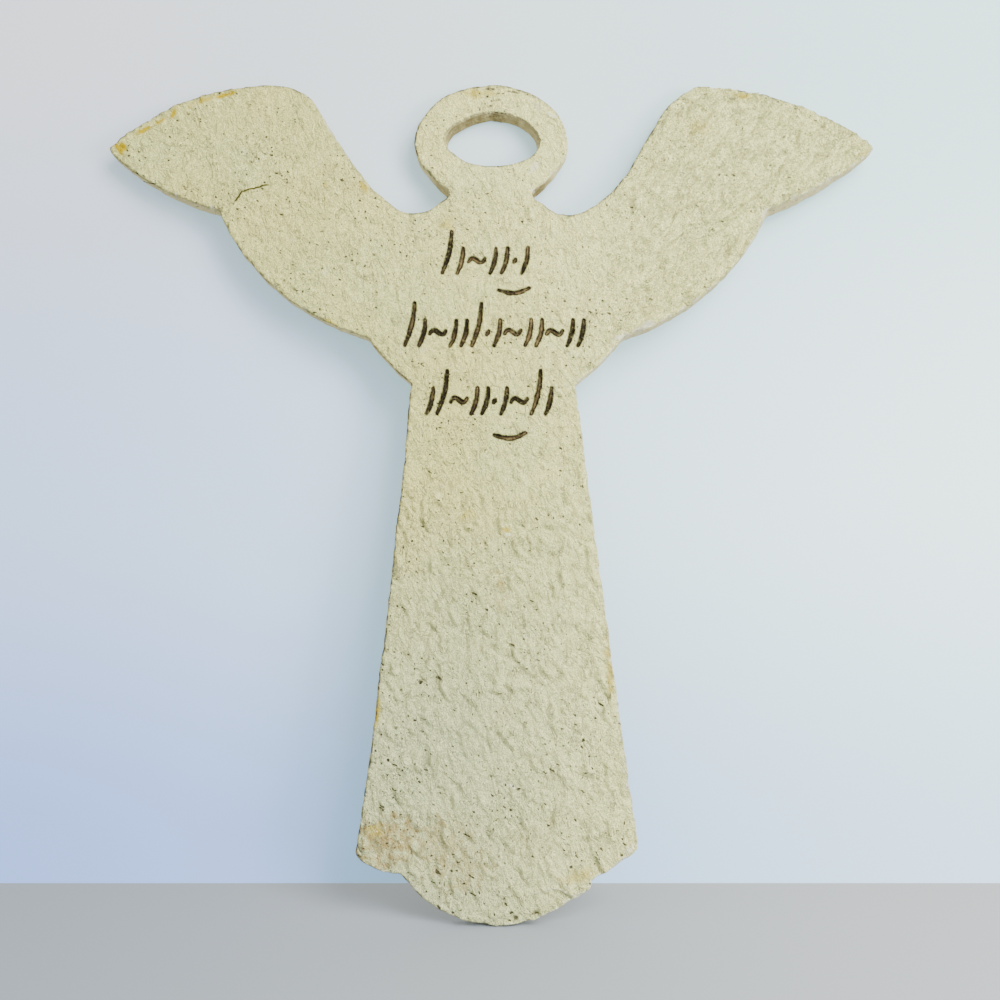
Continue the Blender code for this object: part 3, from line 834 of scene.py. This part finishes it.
    # painted light: every wall made paler, partly its own pale colour and partly standing for light bounced
    # onto it; then darker with dirt and painted shade
    colour = mix(times(spread(mask("wall"), 0.0, 0.05), 0.65), colour, stoneLook["wallPaleAndLit"])
    wallGrimeAndShade = mix(spread(mask("wall"), 0.70, 1.02), stoneLook["wallStainAndShade"], stoneLook["wallDarkStainAndShade"])
    colour = mix(times(mask("wall"), spread(noise(300, 4, 0.65), 0.25, 0.70, 0.45, 1.0)), colour, wallGrimeAndShade)
    rubbedAndLit = plus(mask("pale"), spread(noise(700, 4, 0.7), 0.3, 0.7, -0.4, 0.4))
    colour = mix(spread(rubbedAndLit, 0.35, 0.8), colour, stoneLook["pale"])

    # dark specks in loose clusters, laid out over the face and slanting through the thickness
    wander = put("TexNoise", {"Vector": place, "Scale": 900.0, "Detail": 2.0}).outputs["Color"]
    reach = (stoneLook["speckWander"],) * 3
    wander = put("VectorMath", {0: wander, 1: reach}, operation="MULTIPLY").outputs[0]
    uneven = put("VectorMath", {0: place, 1: wander}, operation="ADD").outputs[0]
    clusters = spread(noise(42, 3, 0.6), 0.40, 0.60, 0.76, 1.0)
    # the right wing and the halo are the cleanest
    middleBand = spread(unsigned(sideways), 0.032, 0.026)
    onHalo = times(middleBand, spread(height, 0.044, 0.056))
    clusters = times(clusters, spread(plus(onWing, onHalo), 0.0, 1.0, 1.0, 0.90))
    clusters = times(clusters, spread(height, -0.10, -0.17, 1.0, 1.05))

    def specks(name, shift, degrees=0.0):
        cell, tall, share, least, most = stoneLook[name]
        turnedPlace = put("Mapping", {"Vector": uneven, "Rotation": (0, math.radians(degrees), 0),
                                      "Scale": (cell, cell, tall)}, vector_type="TEXTURE")
        axes = put("SeparateXYZ", {"Vector": turnedPlace.outputs["Vector"]}).outputs
        flat = put("CombineXYZ", {"X": plus(axes["X"], times(axes["Y"], 1.1)),
                                  "Y": plus(axes["Z"], times(axes["Y"], -0.7))})
        shifted = put("VectorMath", {0: flat.outputs[0], 1: (shift, shift, 0)}, operation="ADD").outputs[0]
        cells = put("TexVoronoi", {"Vector": shifted, "Scale": 1.0, "Randomness": 1.0}, feature="F1",
                    voronoi_dimensions="2D")
        pick = times(put("SeparateColor", {"Color": cells.outputs["Color"]}).outputs["Red"], clusters)
        chosen = put("Math", {0: pick, 1: 1 - share}, operation="GREATER_THAN").outputs[0]
        reach = times(chosen, spread(pick, 1 - share, 1.0, least, most))
        return spread(minus(reach, cells.outputs["Distance"]), 0.0, 0.05)

    small = specks("small", 3.1)
    large = specks("large", 7.7)
    flecks = specks("flecks", 1.3, stoneLook["robeLean"])
    pepper = specks("pepper", 5.3)
    chalk = specks("chalk", 9.4)
    pores = times(spread(noise(1500, 3, 0.75), 0.41, 0.36), spread(noise(75, 3, 0.6), 0.38, 0.62, 0.2, 1.0))
    colour = mix(times(pores, 0.50), colour, stoneLook["fleck"])
    colour = mix(times(chalk, 0.8), colour, stoneLook["pale"])
    colour = mix(times(pepper, 0.7), colour, stoneLook["fleck"])
    colour = mix(times(flecks, 0.6), colour, stoneLook["fleck"])
    colour = mix(times(small, 0.92), colour, stoneLook["speck"])
    colour = mix(times(large, 0.92), colour, stoneLook["speck"])
    colour = mix(times(mask("dark"), spread(noise(700, 3), 0.30, 0.48)), colour, stoneLook["dark"])

    # stain left in the strokes, darkest on their walls
    worn = times(mask("middle"), spread(noise(75, 2), 0.42, 0.62, 0.10, 1.0))
    worn = times(worn, spread(noise(330, 4, 0.7), 0.40, 0.60, 0.25, 1.0))
    strokeTone = mix(worn, stoneLook["strokeDark"], stoneLook["strokeWorn"])
    inked = times(mask("stroke"), spread(noise(800, 3, 0.7), 0.3, 0.6, 0.7, 1.0))
    colour = mix(spread(inked, 0.08, 0.85), colour, strokeTone)
    colour = mix(mask("stalk"), colour, stoneLook["stalk"])

    def layer(value, name):
        return times(value, spread(onWing, 0.0, 1.0, *stoneLook[name]))

    skin = plus(layer(grain, "grainBump"), times(mottle, stoneLook["mottleBump"]))
    skin = plus(skin, plus(layer(grit, "gritBump"), layer(wrinkle, "wrinkleBump")))
    skin = plus(skin, plus(times(crease, stoneLook["creaseBump"]),
                           spread(line, 0.0, 0.07, 0.0, stoneLook["lineBump"])))
    skin = plus(skin, times(pores, stoneLook["poreBump"]))
    skin = plus(skin, times(plus(small, large), stoneLook["speckBump"]))
    bump = put("Bump", {"Height": skin, "Strength": stoneLook["bump"], "Distance": stoneLook["bumpReach"]})
    shader = put("BsdfPrincipled", {"Base Color": colour, "Normal": bump.outputs["Normal"],
                                    "Roughness": spread(grain, 0.3, 0.7, *stoneLook["roughness"]),
                                    "Specular IOR Level": stoneLook["shine"]})
    put("OutputMaterial", {"Surface": shader.outputs["BSDF"]})
    return stone


mesh.materials.append(paintCastStone())
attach(plaque, "root")
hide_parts("angel_plaque")
print("cast stone painted")

# Floor, wall, light and camera.
studio = {
    "lean": 6.7,               # the wall stands this many degrees off the back, and touches its top
    "top": 93.4,
    "wide": 1.2,
    "tall": 0.7,
    "paintRoughness": 0.75,
    # colours at the left and right, from the given height up, in metres: painted light and shade, darker
    # and bluer toward the lower left and lighter toward the right
    "floor": ((0.0, (0.19, 0.23, 0.285), (0.335, 0.37, 0.40)),),
    "wall": ((-0.19, (0.167, 0.228, 0.642), (0.39, 0.54, 0.69)),
             (-0.06, (0.332, 0.395, 0.635), (0.535, 0.705, 0.71)),
             (0.11, (0.454, 0.42, 0.45), (0.36, 0.50, 0.50))),
    "paintedWallGlow": (0.22, 0.42, 0.52, 1.0),
    "fillColour": (1.60, 1.55, 1.45, 1.0),
    "lamps": {
        "key": {"place": (0.42, -0.66, 0.36), "size": 0.5, "power": 14.8, "colour": (1.0, 0.985, 0.97)},
        "low": {"place": (0.60, -0.50, -0.11), "size": 0.3, "power": 6.6, "colour": (1.0, 0.97, 0.93)},
    },
}


def stagePlane(name, corners, bands):
    made = bpy.data.meshes.new(name)
    made.from_pydata([tuple(corner) for corner in corners], [], [(0, 1, 2, 3)])
    plane = bpy.data.objects.new(name, made)
    bpy.context.scene.collection.objects.link(plane)
    paint = bpy.data.materials.new(name + "Paint")
    paint.use_nodes = True
    made.materials.append(paint)
    put = nodeMaker(paint.node_tree)
    axes = put("SeparateXYZ", {"Vector": put("TexCoord").outputs["Object"]}).outputs

    def blend(share, under, over):
        made = put("Mix", data_type="RGBA")
        for socket, value in ((made.inputs[0], share), (made.inputs[6], under), (made.inputs[7], over)):
            if isinstance(value, bpy.types.NodeSocket):
                paint.node_tree.links.new(value, socket)
            else:
                socket.default_value = (*value, 1.0)
        return made.outputs[2]

    def ease(value, low, high):
        return put("MapRange", {"Value": value, "From Min": low, "From Max": high},
                   interpolation_type="SMOOTHSTEP").outputs["Result"]

    across = ease(axes["X"], -0.20, 0.20)
    colour = None
    for height, left, right in bands:
        here = blend(across, left, right)
        colour = here if colour is None else blend(ease(axes["Z"], before, height), colour, here)
        before = height
    shader = paint.node_tree.nodes["Principled BSDF"]
    shader.inputs["Roughness"].default_value = studio["paintRoughness"]
    paint.node_tree.links.new(colour, shader.inputs["Base Color"])
    # solid from the front only, so that the plaque's back can be looked at too
    oneSided = put("MixShader", {0: put("NewGeometry").outputs["Backfacing"], 1: shader.outputs["BSDF"],
                                 2: put("BsdfTransparent").outputs["BSDF"]})
    surface = paint.node_tree.nodes["Material Output"].inputs["Surface"]
    paint.node_tree.links.new(oneSided.outputs[0], surface)
    return plane, shader


lean = math.radians(studio["lean"])
top = Vector((0, 0, studio["top"] * mm))
down = Vector((0, math.sin(lean), -math.cos(lean)))
toward = Vector((0, -math.cos(lean), -math.sin(lean)))
foot = top + down * (studio["top"] + strokes["chestHeight"]) * mm * math.cos(lean)
side = Vector((studio["wide"], 0, 0))
floorCorners = (foot + side, foot - side, foot - side + toward, foot + side + toward)
stagePlane("floor", floorCorners, studio["floor"])
crest = top - down * studio["tall"]
wallCorners = (foot - side, foot + side, crest + side, crest - side)
wall, wallShader = stagePlane("wall", wallCorners, studio["wall"])
# light passes through the wall, or the plaque's back would be dark from behind
wall.visible_shadow = False
wall.visible_diffuse = False
wall.visible_glossy = False
# painted light: the wall glows as well as taking the lamps' light
wallShader.inputs["Emission Color"].default_value = studio["paintedWallGlow"]
wallShader.inputs["Emission Strength"].default_value = 1.0

world = bpy.data.worlds.new("studio")
bpy.context.scene.world = world
world.use_nodes = True
world.node_tree.nodes["Background"].inputs["Color"].default_value = studio["fillColour"]
world.node_tree.nodes["Background"].inputs["Strength"].default_value = 1.0

for name, look in studio["lamps"].items():
    lampData = bpy.data.lights.new(name, "AREA")
    lampData.size = look["size"]
    lampData.energy = look["power"]
    lampData.color = look["colour"]
    lamp = bpy.data.objects.new(name, lampData)
    bpy.context.scene.collection.objects.link(lamp)
    lamp.location = look["place"]
    lamp.rotation_euler = (-lamp.location).to_track_quat("-Z", "Y").to_euler()

print("floor, wall and lights set up")

cameraData = bpy.data.cameras.new("camera")
cameraData.lens = camera["lens"]
cameraData.sensor_width = camera["sensor"]
cameraData.clip_start = camera["nearest"]
cameraObject = bpy.data.objects.new("camera", cameraData)
bpy.context.scene.collection.objects.link(cameraObject)
cameraObject.location = camera["place"]
cameraObject.rotation_euler = (math.radians(90 + camera["pitchUp"]), 0, 0)
bpy.context.scene.camera = cameraObject
